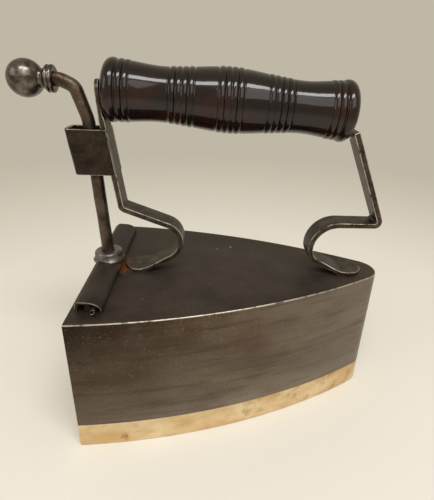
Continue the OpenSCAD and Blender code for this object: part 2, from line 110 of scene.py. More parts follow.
def add(mat, kind, inputs=None, ramp=None, **settings):
    made = mat.node_tree.nodes.new("ShaderNode" + kind)
    for key, value in settings.items():
        setattr(made, key, value)
    for key, value in (inputs or {}).items():
        if isinstance(value, bpy.types.NodeSocket):
            mat.node_tree.links.new(value, made.inputs[key])
        else:
            made.inputs[key].default_value = value
    if ramp:
        stops = made.color_ramp.elements
        while len(stops) < len(ramp):
            stops.new(0.5)
        for stop, (place, colour) in zip(stops, ramp):
            stop.position = place
            stop.color = linear(colour) if isinstance(colour, str) else [colour] * 3 + [1]
    return made


def new_material(name, **shader_values):
    mat = bpy.data.materials.new(name)
    mat.use_nodes = True
    shader = mat.node_tree.nodes["Principled BSDF"]
    for key, value in shader_values.items():
        shader.inputs[key.replace("_", " ")].default_value = value
    place = add(mat, "TexCoord").outputs["Object"]
    millimetres = add(mat, "VectorMath", {0: place, 1: (1000, 1000, 1000)}, operation="MULTIPLY")
    return mat, shader, millimetres.outputs[0]


def speckle(mat, where, scale, detail=4, stretch=(1, 1, 1), rough=0.55):
    """Noise whose cells are about 1 / scale millimetres, stretched along the axes."""
    spread = add(mat, "Mapping", {"Vector": where, "Scale": stretch})
    return add(mat, "TexNoise", {"Vector": spread.outputs[0], "Scale": scale, "Detail": detail,
                                 "Roughness": rough}).outputs["Fac"]


def mask(mat, value, low, high, low_is=0.0, high_is=1.0):
    """A soft step: low_is below low, high_is above high."""
    return add(mat, "MapRange", {"Value": value, "From Min": low, "From Max": high,
                                 "To Min": low_is, "To Max": high_is}).outputs[0]


def blend(mat, amount, under, over, how="MIX"):
    """Over laid on under by amount; a hex code may stand for either colour."""
    over = linear(over) if isinstance(over, str) else over
    under = linear(under) if isinstance(under, str) else under
    return add(mat, "Mix", {0: amount, 6: under, 7: over}, data_type="RGBA",
               blend_type=how).outputs[2]


def both(mat, a, b, how="MULTIPLY"):
    return add(mat, "Math", {0: a, 1: b}, operation=how).outputs[0]


def relief(mat, shader, height, depth_mm, strength=1.0, after=None):
    """Small hills and pits of depth_mm, as the shader's normal."""
    inputs = {"Height": height, "Distance": mm(depth_mm), "Strength": strength}
    if after:
        inputs["Normal"] = after
    bump = add(mat, "Bump", inputs)
    mat.node_tree.links.new(bump.outputs[0], shader.inputs["Normal"])
    return bump.outputs[0]


def feed(mat, shader, **sockets):
    for key, value in sockets.items():
        mat.node_tree.links.new(value, shader.inputs[key.replace("_", " ")])


# %% [markdown]
# ## Helpers for shapes
#
# `finish_piece` turns a bmesh into an object: it names it, marks edges sharper than an angle,
# gives the materials, tells the frame which body carries it and hides the solid it stands for.
# Bent bars are made as a smith makes them: an end face is pushed straight or spun round a
# bend, so `Bar` remembers the place and the heading of its moving end.


# %% Shape helpers
PIECES = []


def soften(bm, edges, width, parts=2, slot=None):
    """Bevels edges; the new faces may get a material slot of their own."""
    bmesh.ops.recalc_face_normals(bm, faces=bm.faces)
    made = bmesh.ops.bevel(bm, geom=edges, offset=mm(width), segments=parts, profile=0.5,
                           affect="EDGES", material=-1, clamp_overlap=True)
    if slot is not None:
        for face in made["faces"]:
            face.material_index = slot


def finish_piece(bm, name, body, materials, stands_for=(), sharp=38, outward=True,
                 edge_width=0.0, edge_parts=2, edge_angle=40):
    if outward:
        bmesh.ops.recalc_face_normals(bm, faces=bm.faces)
    if edge_width:
        worn = [edge for edge in bm.edges if edge.calc_face_angle(0) > radians(edge_angle)]
        soften(bm, worn, edge_width, edge_parts, len(materials) - 1)
    for face in bm.faces:
        face.smooth = True
    for edge in bm.edges:
        edge.smooth = edge.calc_face_angle(0) < radians(sharp)
    mesh = bpy.data.meshes.new(name)
    bm.to_mesh(mesh)
    bm.free()
    piece = bpy.data.objects.new(name, mesh)
    bpy.context.scene.collection.objects.link(piece)
    for mat in materials:
        mesh.materials.append(mat)
    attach(piece, body)
    if stands_for:
        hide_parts(*stands_for)
    PIECES.append(piece)
    print(name, len(mesh.polygons), "faces")
    return piece


def once(things):
    """Each thing once, in the order given, so that every run builds the same mesh."""
    return list(dict.fromkeys(things))


def region(faces):
    """Faces with their edges and points, so that extruding them leaves no face inside."""
    edges = once(edge for face in faces for edge in face.edges)
    return list(faces) + edges + once(vert for face in faces for vert in face.verts)


def extrude_on(bm, faces, step):
    """Extrudes faces along step and returns the moved ones."""
    made = bmesh.ops.extrude_face_region(bm, geom=region(faces))
    faces = [g for g in made["geom"] if isinstance(g, bmesh.types.BMFace)]
    bmesh.ops.translate(bm, vec=step, verts=once(v for f in faces for v in f.verts))
    return faces


def lathe(bm, outline, steps=96):
    """Spins (radius, height) points in millimetres about Z; the outline starts and ends on the axis."""
    verts = [bm.verts.new((mm(r), 0, mm(h))) for r, h in outline]
    edges = [bm.edges.new(pair) for pair in zip(verts, verts[1:])]
    bmesh.ops.spin(bm, geom=verts + edges, cent=(0, 0, 0), axis=(0, 0, 1), dvec=(0, 0, 0),
                   angle=2 * pi, steps=steps, use_merge=True, use_duplicate=False)
    bmesh.ops.remove_doubles(bm, verts=bm.verts, dist=1e-6)


def put(bm, tilt, place):
    """Turns everything by tilt degrees about Y, then moves it to place."""
    bmesh.ops.rotate(bm, cent=(0, 0, 0), matrix=Matrix.Rotation(radians(tilt), 3, "Y"), verts=bm.verts)
    bmesh.ops.translate(bm, vec=place, verts=bm.verts)


NOISE_SEED = 12
noise.seed_set(NOISE_SEED)


def waver(bm, size_mm, depth_mm, seed=0, verts=None):
    """Pushes points by smooth noise, so that a face isn't perfectly true."""
    for vert in verts or bm.verts:
        where = vert.co * (1000 / size_mm) + Vector((seed, 0, 0))
        vert.co += noise.noise_vector(where) * mm(depth_mm)


class Bar:
    """The moving end of a bar that is bent in the upright middle plane of the iron."""

    def __init__(self, bm, x, z, heading, thick, wide, sides=0):
        self.bm, self.x, self.z, self.heading = bm, x, z, heading
        if sides:
            made = bmesh.ops.create_circle(bm, cap_ends=True, segments=sides, radius=mm(thick / 2))
        else:
            made = bmesh.ops.create_grid(bm, x_segments=1, y_segments=1, size=0.5)
            bmesh.ops.scale(bm, vec=(mm(thick), mm(wide), 1), verts=made["verts"])
        verts = made["verts"]
        bmesh.ops.rotate(bm, cent=(0, 0, 0), verts=verts,
                         matrix=Matrix.Rotation(radians(heading), 3, "Y"))
        bmesh.ops.translate(bm, vec=at(x, 0, z), verts=verts)
        self.faces = once(face for vert in verts for face in vert.link_faces)
        self.thick, self.wide = thick, wide

    def verts(self):
        return once(vert for face in self.faces for vert in face.verts)

    def push(self, length, wide=1.0, thick=1.0):
        """Straight on by length; wide and thick scale the new end."""
        go = Vector((sin(radians(self.heading)), 0, cos(radians(self.heading))))
        self.faces = extrude_on(self.bm, self.faces, go * mm(length))
        self.x += length * go.x
        self.z += length * go.z
        if wide != 1 or thick != 1:
            here = Matrix.Translation(-at(self.x, 0, self.z))
            unturn = Matrix.Rotation(radians(-self.heading), 4, "Y")
            bmesh.ops.scale(self.bm, vec=(thick, wide, 1), verts=self.verts(), space=unturn @ here)
        return self

    def bend(self, radius, angle, steps=None):
        """Round a bend; a positive angle turns the heading towards the nose and down."""
        side = 1 if angle > 0 else -1
        h = radians(self.heading)
        cx, cz = self.x + side * radius * cos(h), self.z - side * radius * sin(h)
        made = bmesh.ops.spin(self.bm, geom=region(self.faces), cent=at(cx, 0, cz), axis=(0, 1, 0),
                              dvec=(0, 0, 0), angle=radians(angle),
                              steps=steps or max(3, int(abs(angle) / 6)),
                              use_merge=False, use_duplicate=False)
        self.faces = [g for g in made["geom_last"] if isinstance(g, bmesh.types.BMFace)]
        self.heading += angle
        h = radians(self.heading)
        self.x, self.z = cx - side * radius * cos(h), cz + side * radius * sin(h)
        return self

    def grow(self, length, wide, thick):
        """Straight on by length to an end that is wide by thick."""
        self.push(length, wide / self.wide, thick / self.thick)
        self.wide, self.thick = wide, thick

    def shift(self, by):
        """Moves the end across the bar, towards the nose on an upright one."""
        across = Vector((cos(radians(self.heading)), 0, -sin(radians(self.heading))))
        bmesh.ops.translate(self.bm, vec=across * mm(by), verts=self.verts())
        self.x += by * across.x
        self.z += by * across.z

# %% [markdown]
# ## Browned sheet steel for the wall
#
# The wall is polished mild steel that heat and handling have browned. The eye reads a dark,
# half matt metal with an ochre bloom under the upper rear edge, long faint wipe marks, and
# grains of bare metal. Light is painted in as well: the lower wall is painted greyer as a painted
# reflection of the pale floor, the nose is painted lighter and the rear darker, as painted light
# and shade. Each of these is its own noise, laid over the last.


# %% Wall steel
def make_wall_steel():
    mat, shader, here = new_material("browned_sheet_steel", Metallic=0.85, Roughness=0.42)
    parts = add(mat, "SeparateXYZ", {0: here})
    cloud = speckle(mat, here, 0.045, 5, (0.6, 0.6, 1.3))
    colour = blend(mat, mask(mat, cloud, 0.38, 0.62), "#57493d", "#6f6155")
    high = mask(mat, parts.outputs[2], 36, 60)
    back = mask(mat, parts.outputs[0], 20, -50)
    bloom = both(mat, both(mat, high, back), mask(mat, speckle(mat, here, 0.12, 6), 0.40, 0.60))
    colour = blend(mat, bloom, colour, "#4a3419")
    # Painted reflection: the lower wall is painted greyer, where the pale floor would be mirrored.
    low = mask(mat, parts.outputs[2], 34, 14)
    colour = blend(mat, both(mat, low, mask(mat, cloud, 0.3, 0.6, 0.3, 0.8)), colour, "#8b8074")
    # Painted light: the wall is painted lighter towards the nose, where the lamps would be mirrored.
    front = mask(mat, parts.outputs[0], 5, 60)
    colour = blend(mat, both(mat, front, mask(mat, cloud, 0.35, 0.6, 0.35, 0.8)), colour, "#857a6f")
    # Painted shade: the wall is painted darker towards the rear, away from the lamps.
    rear = mask(mat, parts.outputs[0], 0, -60, 0, 0.5)
    colour = blend(mat, rear, colour, "#33261b")
    corner = both(mat, high, mask(mat, parts.outputs[0], -25, -64))
    colour = blend(mat, corner, colour, "#241a12")
    wipes = speckle(mat, here, 0.5, 5, (0.07, 0.07, 1.0))
    colour = blend(mat, mask(mat, wipes, 0.52, 0.75, 0, 0.5), colour, "#35291f")
    grains = speckle(mat, here, 1.6, 3)
    colour = blend(mat, mask(mat, grains, 0.62, 0.74, 0, 0.55), colour, "#9a8c78")
    specks = speckle(mat, here, 2.4, 2)
    colour = blend(mat, mask(mat, specks, 0.66, 0.72, 0, 0.8), colour, "#211811")
    feed(mat, shader, Base_Color=colour, Roughness=mask(mat, cloud, 0.3, 0.7, 0.34, 0.52))
    relief(mat, shader, both(mat, grains, wipes, "ADD"), 0.05, 0.5)
    return mat


# %% [markdown]
# ## Dull sheet steel for the top
#
# The top plate was never polished as bright as the wall. It is a near black brown, finely
# grained, with a few bare specks, and rust has crept from the boss onto it.


# %% Top plate steel
def make_top_steel(name="dull_sheet_steel", rust_at=(-50, 0, 62), rust_reach=9.0):
    mat, shader, here = new_material(name, Metallic=0.75, Roughness=0.5)
    cloud = speckle(mat, here, 0.06, 5)
    colour = blend(mat, mask(mat, cloud, 0.35, 0.65), "#3d3430", "#52473f")
    grain = speckle(mat, here, 1.3, 4)
    colour = blend(mat, mask(mat, grain, 0.45, 0.7, 0, 0.45), colour, "#2b2421")
    cells = add(mat, "TexVoronoi", {"Vector": here, "Scale": 0.13})
    fleck = mask(mat, cells.outputs["Distance"], 0.060, 0.045)
    few = mask(mat, speckle(mat, here, 0.08, 1), 0.58, 0.6)
    colour = blend(mat, both(mat, fleck, few), colour, "#d8d2c8")
    away = add(mat, "VectorMath", {0: here, 1: rust_at}, operation="DISTANCE").outputs["Value"]
    ragged = both(mat, away, mask(mat, speckle(mat, here, 0.45, 5), 0.3, 0.7, -4.0, 5.0), "ADD")
    rust = mask(mat, ragged, rust_reach, rust_reach - 5)
    shade = blend(mat, mask(mat, speckle(mat, here, 0.8, 4), 0.4, 0.6), "#4f2c14", "#8d5a2c")
    feed(mat, shader, Base_Color=blend(mat, rust, colour, shade),
         Roughness=mask(mat, both(mat, rust, cloud, "ADD"), 0.3, 1.2, 0.42, 0.85))
    relief(mat, shader, grain, 0.06, 0.5)
    return mat


# %% [markdown]
# ## Wrought bar, and its worn edges
#
# The bars were forged and left dark. Hands have rubbed their corners bright, so the corner
# strip that a bevel makes gets its own metal, patchy where the scale still holds.


# %% Bar iron and bare edges
def make_bar_iron(name, dark="#2f2822", light="#564b40", rough=0.42, rust=0.0, grain=0.5):
    mat, shader, here = new_material(name, Metallic=0.85, Roughness=rough)
    cloud = speckle(mat, here, 0.22, 5)
    colour = blend(mat, mask(mat, cloud, 0.36, 0.66), dark, light)
    fine = speckle(mat, here, 1.7, 4)
    colour = blend(mat, mask(mat, fine, 0.55, 0.72, 0, grain), colour, "#8d8172")
    rusty = mask(mat, speckle(mat, here, 0.35, 6), 0.62 - rust * 0.3, 0.72 - rust * 0.2)
    colour = blend(mat, both(mat, rusty, min(1.0, 0.25 + rust)), colour, "#6d4322")
    feed(mat, shader, Base_Color=colour, Roughness=mask(mat, fine, 0.35, 0.7, rough - 0.08, rough + 0.16))
    dents = speckle(mat, here, 0.3, 2)
    first = relief(mat, shader, dents, 0.25, 0.5)
    relief(mat, shader, fine, 0.05, 0.6, first)
    return mat


def make_bare_edge(name="bare_worn_edge", dark="#4f463e", bright="#b3aa9e"):
    mat, shader, here = new_material(name, Metallic=1.0, Roughness=0.3)
    patches = speckle(mat, here, 0.28, 4)
    colour = blend(mat, mask(mat, patches, 0.34, 0.52), dark, bright)
    feed(mat, shader, Base_Color=colour)
    relief(mat, shader, speckle(mat, here, 1.2, 3), 0.05, 0.5)
    return mat


# %% [markdown]
# ## Brass, varnished wood, polished steel and cast iron
#
# The sole is cast brass, filed flat and rubbed, with pits from the casting and brown tarnish.
# The handle is fruitwood under thick dark varnish: a clear coat over a deep red brown.
# The ball is turned steel, dulled by hands. The slug is raw cast iron, scaled by the fire.


# %% Brass
def make_brass():
    mat, shader, here = new_material("filed_cast_brass", Metallic=1.0, Roughness=0.33)
    cloud = speckle(mat, here, 0.07, 6, (1, 1, 1.6))
    colour = blend(mat, mask(mat, cloud, 0.36, 0.64), "#d3b483", "#e9d6b1")
    tarnish = both(mat, mask(mat, speckle(mat, here, 0.16, 6), 0.54, 0.66),
                   mask(mat, speckle(mat, here, 0.03, 2), 0.4, 0.6))
    colour = blend(mat, both(mat, tarnish, 0.45), colour, "#b08a50")
    pits = speckle(mat, here, 0.9, 3)
    pitted = both(mat, mask(mat, pits, 0.69, 0.74), mask(mat, speckle(mat, here, 0.05, 2), 0.5, 0.62))
    colour = blend(mat, pitted, colour, "#4b3418")
    away = add(mat, "VectorMath", {0: here, 1: (-46.5, -47, 3)}, operation="DISTANCE").outputs["Value"]
    ragged = both(mat, away, mask(mat, speckle(mat, here, 1.1, 3), 0.35, 0.65, -0.7, 0.7), "ADD")
    colour = blend(mat, mask(mat, ragged, 2.4, 0.9, 0, 0.6), colour, "#8a4320")
    dull = both(mat, tarnish, cloud, "ADD")
    feed(mat, shader, Base_Color=colour, Roughness=mask(mat, dull, 0.3, 1.2, 0.28, 0.55))
    relief(mat, shader, both(mat, pits, pitted, "SUBTRACT"), 0.12, 0.6)
    return mat


# %% Wood
def make_wood():
    mat, shader, here = new_material("dark_varnished_fruitwood", Roughness=0.32, IOR=1.5)
    shader.inputs["Specular IOR Level"].default_value = 0.06
    shader.inputs["Coat Weight"].default_value = 0.6
    shader.inputs["Coat Roughness"].default_value = 0.09
    shader.inputs["Coat IOR"].default_value = 1.6
    grain = speckle(mat, here, 0.9, 5, (0.08, 1, 1))
    colour = blend(mat, mask(mat, grain, 0.35, 0.7), "#150703", "#080302")
    # Redder patches: the wood's own red brown, and partly a painted glow of light in the varnish.
    red_wood_and_painted_glow = mask(mat, speckle(mat, here, 0.05, 3), 0.5, 0.7)
    colour = blend(mat, both(mat, red_wood_and_painted_glow, 0.4), colour, "#451709")
    wear = mask(mat, speckle(mat, here, 0.7, 4), 0.68, 0.76, 0, 0.4)
    feed(mat, shader, Base_Color=blend(mat, wear, colour, "#3d2a1e"))
    ripple = speckle(mat, here, 0.12, 3, (0.5, 1, 1))
    relief(mat, shader, both(mat, ripple, both(mat, grain, 0.06), "ADD"), 0.3, 0.35)
    coat = add(mat, "Bump", {"Height": ripple, "Distance": mm(0.25), "Strength": 0.4})
    mat.node_tree.links.new(coat.outputs[0], shader.inputs["Coat Normal"])
    return mat


# %% Ball steel and cast iron
def make_ball_steel():
    mat, shader, here = new_material("turned_ball_steel", Metallic=1.0, Roughness=0.24)
    cloud = speckle(mat, here, 0.3, 5)
    colour = blend(mat, mask(mat, cloud, 0.36, 0.66), "#4a4239", "#7f7872")
    stain = mask(mat, speckle(mat, here, 0.8, 4), 0.58, 0.7, 0, 0.7)
    feed(mat, shader, Base_Color=blend(mat, stain, colour, "#463b30"),
         Roughness=mask(mat, cloud, 0.35, 0.7, 0.18, 0.36))
    relief(mat, shader, cloud, 0.08, 0.5)
    return mat


def make_cast_iron():
    mat, shader, here = new_material("scaled_cast_iron", Metallic=0.5, Roughness=0.72)
    sand = speckle(mat, here, 0.8, 6)
    colour = blend(mat, mask(mat, sand, 0.4, 0.65), "#26211e", "#4b403a")
    burnt = mask(mat, speckle(mat, here, 0.1, 4), 0.55, 0.7)
    feed(mat, shader, Base_Color=blend(mat, burnt, colour, "#55372a"))
    relief(mat, shader, sand, 0.4, 0.7)
    return mat


WALL_STEEL, TOP_STEEL = make_wall_steel(), make_top_steel()
BAR_IRON, BARE_EDGE = make_bar_iron("wrought_bar"), make_bare_edge()
LOOP_IRON = make_bar_iron("loop_sheet", "#2a221c", "#3d332a", 0.46, grain=0.15)
ROD_STEEL = make_bar_iron("rusty_rod_steel", "#382e26", "#60554a", 0.38, 0.3)
BOSS_STEEL = make_bar_iron("rubbed_boss_steel", "#4e4a46", "#86817d", 0.4, 0.2)
BRASS, WOOD = make_brass(), make_wood()
BALL_STEEL, CAST_IRON = make_ball_steel(), make_cast_iron()
ARRIS = make_bare_edge("bare_arris", "#65594e", "#cfc7bb")
print(len(bpy.data.materials), "materials")

# %% [markdown]
# ## Solids that keep their shape
#
# Pieces that sit inside the box, and flat ones whose shape is right already, keep their solid
# and only get a finish.

# %% Finish the solids that stay
KEPT = {"gate_guide_left": BAR_IRON, "gate_guide_right": BAR_IRON, "gate": TOP_STEEL,
        "foot_rivets": BAR_IRON, "slug": CAST_IRON}
for node, mat in KEPT.items():
    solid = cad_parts[node]
    solid.data.materials.clear()
    solid.data.materials.append(mat)

# %% [markdown]
# ## The curved outline of the box
#
# Seen from above the box is two long arcs that meet in a small round nose. One point is spun
# round the centre of each arc in turn, which leaves a chain of edges. Moved inwards by a
# thickness, the same function gives the inside of the wall and the edge of the top plate.

# %% Outline
SIDE_R, NOSE_R, WALL_T, PLATE_T = 274.0, 9.5, 2.5, 2.5
NOSE_X, HALF_W = BODY_LEN - NOSE_R, BODY_W / 2
reach_c = sqrt(NOSE_X ** 2 + HALF_W ** 2)
along = (SIDE_R ** 2 - (SIDE_R - NOSE_R) ** 2 + reach_c ** 2) / (2 * reach_c)
aside = sqrt(SIDE_R ** 2 - along ** 2)
ARC_X = (along * NOSE_X - aside * HALF_W) / reach_c
ARC_Y = HALF_W - (along * HALF_W + aside * NOSE_X) / reach_c


def outline_chain(bm, inset, z, x_from=0.0):
    """Edges round the box at height z, moved inwards by inset, from one rear end to the other."""
    radius = SIDE_R - inset
    y = ARC_Y + sqrt(radius ** 2 - (x_from - ARC_X) ** 2)
    rear = atan2(y - ARC_Y, x_from - ARC_X)
    tangent = atan2(-ARC_Y, NOSE_X - ARC_X)
    last = [bm.verts.new(at(x_from, y, z))]
    chain = list(last)
    for x, cy, angle, steps in ((ARC_X, ARC_Y, tangent - rear, 40), (NOSE_X, 0, -2 * tangent, 18),
                                (ARC_X, -ARC_Y, tangent - rear, 40)):
        before = set(bm.verts)
        made = bmesh.ops.spin(bm, geom=last, cent=at(x, cy, z), axis=(0, 0, 1), dvec=(0, 0, 0),
                              angle=angle, steps=steps, use_merge=False, use_duplicate=False)
        last = [g for g in made["geom_last"] if isinstance(g, bmesh.types.BMVert)]
        chain += [vert for vert in bm.verts if vert not in before]
    edges = once(edge for vert in chain for edge in vert.link_edges)
    return chain, edges


def ring_between(bm, outer, inner):
    made = bmesh.ops.bridge_loops(bm, edges=outer + inner)
    return made["faces"]


def raise_faces(bm, faces, heights):
    """Extrudes faces straight up through the given steps, in millimetres."""
    for step in heights:
        faces = extrude_on(bm, faces, (0, 0, mm(step)))
    return faces


# %% [markdown]
# ## Side wall
#
# The wall is one strip of sheet, bent round the nose and open at the rear. Its upper outer
# corner is where every hand and every stand has rubbed, so that corner is bevelled and the
# bevel is bare metal. The upper rim is as dull as the plate beside it.

# %% Side wall
bm = bmesh.new()
outer = outline_chain(bm, 0, SOLE_T)[1]
inner = outline_chain(bm, WALL_T, SOLE_T)[1]
ring = ring_between(bm, outer, inner)
top_faces = raise_faces(bm, ring, [0.6, 16, 16, 16, TOP_Z - SOLE_T - 48.6])
for face in top_faces:
    face.material_index = 2


def on_outline(vert):
    x, y = vert.co.x * 1000 + BODY_LEN / 2, abs(vert.co.y * 1000)
    if x > ARC_X + SIDE_R * (NOSE_X - ARC_X) / (SIDE_R - NOSE_R) - 0.01:
        return abs(sqrt((x - NOSE_X) ** 2 + y ** 2) - NOSE_R) < 0.05
    return abs(sqrt((x - ARC_X) ** 2 + (y - ARC_Y) ** 2) - SIDE_R) < 0.05


arris = [e for e in bm.edges if all(on_outline(v) and v.co.z > mm(TOP_Z - 0.01) for v in e.verts)]
soften(bm, arris, 0.42, 3, 1)
corners = [e for e in bm.edges if abs(e.verts[0].co.z - e.verts[1].co.z) > mm(0.3)
           and all(v.co.x < at(0.01, 0, 0).x and on_outline(v) for v in e.verts)]
soften(bm, corners, 0.35, 2, 1)
finish_piece(bm, "side_wall_shell", "iron", [WALL_STEEL, ARRIS, TOP_STEEL],
                    ["side_wall"], sharp=30)

# %% [markdown]
# ## Brass sole
#
# The sole is a thick casting with the same outline. Its edges are filed just enough not to
# catch lace. A pocket on top holds the slug clear of the metal on three low rests.

# %% Sole
def closed_outline(bm, inset, z, x_from=0.0):
    chain, edges = outline_chain(bm, inset, z, x_from)
    rear = [v for v in chain if v.co.x < at(x_from + 0.01, 0, 0).x]
    return edges + [bm.edges.new(rear)]


def sink(bm, edges, depth):
    """Walls down from a closed chain of edges, and a face across their foot."""
    made = bmesh.ops.extrude_edge_only(bm, edges=edges)
    verts = [g for g in made["geom"] if isinstance(g, bmesh.types.BMVert)]
    bmesh.ops.translate(bm, vec=(0, 0, -mm(depth)), verts=verts)
    foot = once(e for v in verts for e in v.link_edges if all(end in verts for end in e.verts))
    bmesh.ops.contextual_create(bm, geom=foot)


POCKET_INSET, POCKET_DEPTH, POCKET_X = 12.0, 4.0, 14.6
bm = bmesh.new()
outer, inner = closed_outline(bm, 0, SOLE_T), closed_outline(bm, POCKET_INSET, SOLE_T, POCKET_X)
ring_between(bm, outer, inner)
sink(bm, outer, SOLE_T)
sink(bm, inner, POCKET_DEPTH)
rims = [e for e in bm.edges if abs(e.verts[0].co.z - e.verts[1].co.z) < mm(0.1)
        and all(map(on_outline, e.verts)) and e.verts[0].co.x + e.verts[1].co.x > 2 * at(0.1, 0, 0).x]
soften(bm, rims, 0.4, 2)
REST_SHARES = (0.23, 0.46, 0.69)
for share in REST_SHARES:
    x = share * BODY_LEN
    wide = 2 * (ARC_Y + sqrt((SIDE_R - POCKET_INSET) ** 2 - (x + 3 - ARC_X) ** 2)) - 0.6
    made = bmesh.ops.create_cube(bm, size=1)
    bmesh.ops.scale(bm, vec=(mm(6), mm(wide), mm(4.6)), verts=made["verts"])
    bmesh.ops.translate(bm, vec=at(x, 0, SOLE_T - 1.8), verts=made["verts"])
finish_piece(bm, "cast_sole", "iron", [BRASS], ["sole_plate"], sharp=30)

# %% [markdown]
# ## Top plate
#
# The plate lies inside the wall, flush with its rim. The slot for the gate is cut with four
# planes, and the small face between them is taken out before the plate gets its thickness.

# %% Top plate
LEAN, ROD_X, GATE_T, GATE_W, GATE_GAP = 2.96, 7.0, 2.2, 77.0, 0.3
bm = bmesh.new()
bmesh.ops.contextual_create(bm, geom=closed_outline(bm, WALL_T + 0.01, TOP_Z - PLATE_T))
slot_x = (ROD_X - GATE_T / 2 - GATE_GAP, ROD_X + GATE_T / 2 + GATE_GAP + 0.15)
slot_y = GATE_W / 2 + GATE_GAP
for place, normal in ((at(slot_x[0], 0, 0), (1, 0, 0)), (at(slot_x[1], 0, 0), (1, 0, 0)),
                      (at(0, slot_y, 0), (0, 1, 0)), (at(0, -slot_y, 0), (0, 1, 0))):
    bmesh.ops.bisect_plane(bm, geom=bm.verts[:] + bm.edges[:] + bm.faces[:], dist=1e-7,
                           plane_co=place, plane_no=normal)
hole = [f for f in bm.faces if at(slot_x[0], 0, 0).x < f.calc_center_median().x < at(slot_x[1], 0, 0).x
        and abs(f.calc_center_median().y) < mm(slot_y)]
bmesh.ops.delete(bm, geom=hole, context="FACES")
raise_faces(bm, bm.faces[:], [PLATE_T])
finish_piece(bm, "top_sheet", "iron", [TOP_STEEL], ["top_plate"], sharp=30)

# %% [markdown]
# ## Scrolled brackets
#
# Each bracket is one bar, about 10 by 2.4 mm, hammered out into a thin leaf where it is riveted
# down, curled back on itself, and flattened again against the end of the handle. The end face of a bar
# starts at the tip of the leaf and is pushed and bent along the whole way.

# %% Bracket helper and rear bracket
BAR_W, BAR_T = 10.0, 2.4


def leaf(bar, flat, blade, thin):
    """Pushes a bar end through flat mm of a round leaf that is blade mm wide, and thickens it."""
    parts = 7
    half = blade / 2
    for k in range(1, parts + 1):
        s = flat * (k / parts) ** 1.4
        width = 2 * sqrt(max(0.2, half ** 2 - max(0.0, half - s) ** 2))
        bar.grow(s - bar.gone, width, thin + 0.5 * k / parts)
        bar.gone = s


def shape_to(bar, length, wide, thick, parts=5):
    """Straight on while the section changes evenly to wide by thick."""
    wide_0, thick_0 = bar.wide, bar.thick
    for k in range(1, parts + 1):
        t = (1 - cos(pi * k / parts)) / 2
        bar.grow(length / parts, wide_0 + (wide - wide_0) * t, thick_0 + (thick - thick_0) * t)


def round_off(bar, radius):
    """Ends a flat bar in a half circle of this radius."""
    thick = bar.thick
    for k in range(1, 5):
        reach = sin(radians(18 * k)) - sin(radians(18 * (k - 1)))
        bar.grow(radius * reach, 2 * radius * cos(radians(18 * k)), thick)


FOOT_Z = 0.95
REAR_FOOT_X, REAR_RUN, REAR_RISE, CURL_R = 20.6, 14.4, 25.0, 8.5
REAR_UPPER, TOP_SLOPE, REAR_BEND = 19.4, 20.5, 2.2
REAR_LEAN, PILLAR_DROP, TONGUE_T, GRIP_Z, SLOPE, GRIP_L = 8.0, 12.0, 1.7, 75.6, 3.5, 96.4

bm = bmesh.new()
corner_x = REAR_FOOT_X + 1.3 + FOOT_Z * tan(radians(90 - REAR_RISE))
soft = 6 * tan(radians(REAR_RISE / 2))
tip_x = REAR_FOOT_X - 6.5
bar = Bar(bm, tip_x, TOP_Z + FOOT_Z, 90, 0.9, 2.4)
bar.gone = 0.0
leaf(bar, 6.8, 13.4, 0.9)
shape_to(bar, corner_x - soft - bar.x, 12.6, 1.7, 3)
bar.bend(6, -REAR_RISE, 5)
run_left = REAR_RUN - FOOT_Z / sin(radians(REAR_RISE)) - soft
shape_to(bar, run_left, BAR_W, BAR_T, 6)
bar.bend(CURL_R, -180 + REAR_RISE + TOP_SLOPE, 26)
bar.grow(REAR_UPPER, BAR_W, BAR_T)
bar.bend(REAR_BEND, 90 - TOP_SLOPE - REAR_LEAN, 9)
rear_corner = (bar.x, bar.z)
bar.grow((TOP_Z + GRIP_Z - PILLAR_DROP - bar.z) / cos(radians(REAR_LEAN)), BAR_W, BAR_T)
GRIP_X = bar.x - BAR_T / 2 / cos(radians(REAR_LEAN)) + TONGUE_T + PILLAR_DROP * tan(radians(SLOPE))
print("handle starts at", round(GRIP_X, 2), "mm")
bar.bend(16, REAR_LEAN - SLOPE, 2)
bar.grow(2.0, 9.4, TONGUE_T)
bar.shift((TONGUE_T - BAR_T) / 2)
bar.grow(PILLAR_DROP - 3.7, 9.0, TONGUE_T)
round_off(bar, 4.5)
waver(bm, 9, 0.12)
waver(bm, 5, 0.4, 8, [v for v in bm.verts if v.co.z < mm(TOP_Z + 1.8)])
finish_piece(bm, "rear_scroll_bar", "iron", [BAR_IRON, BARE_EDGE], ["rear_bracket"],
             sharp=14, edge_width=0.38, edge_angle=50)

# %% Front bracket
FRONT_FOOT_X, FRONT_RUN, FRONT_RISE, LOW_R, HIGH_R, FRONT_BEND = BODY_LEN - 14.6, 13.9, 22.0, 6.8, 11.6, 1.9
FRONT_LEAN, SHOULDER_DROP = 23.8, 7.2
bm = bmesh.new()
corner_x = FRONT_FOOT_X - 0.9 - FOOT_Z * tan(radians(90 - FRONT_RISE))
soft = 6 * tan(radians(FRONT_RISE / 2))
bar = Bar(bm, FRONT_FOOT_X + 7.2, TOP_Z + FOOT_Z, -90, 0.9, 2.4)
bar.gone = 0.0
leaf(bar, 7.4, 15.0, 0.9)
shape_to(bar, bar.x - corner_x - soft, 14.0, 1.7, 3)
bar.bend(6, FRONT_RISE, 5)
run_left = FRONT_RUN - FOOT_Z / sin(radians(FRONT_RISE)) - soft
shape_to(bar, run_left, BAR_W, BAR_T, 6)
bar.bend(LOW_R, 90 - FRONT_RISE, 16)
bar.grow(0.2, BAR_W, BAR_T)
bar.bend(HIGH_R, 90, 20)
turn_by = radians(90 + FRONT_LEAN)
corner_dx, corner_dz = FRONT_BEND * sin(turn_by), FRONT_BEND * (1 - cos(turn_by))
GRIP_END_X = GRIP_X + GRIP_L * cos(radians(SLOPE))
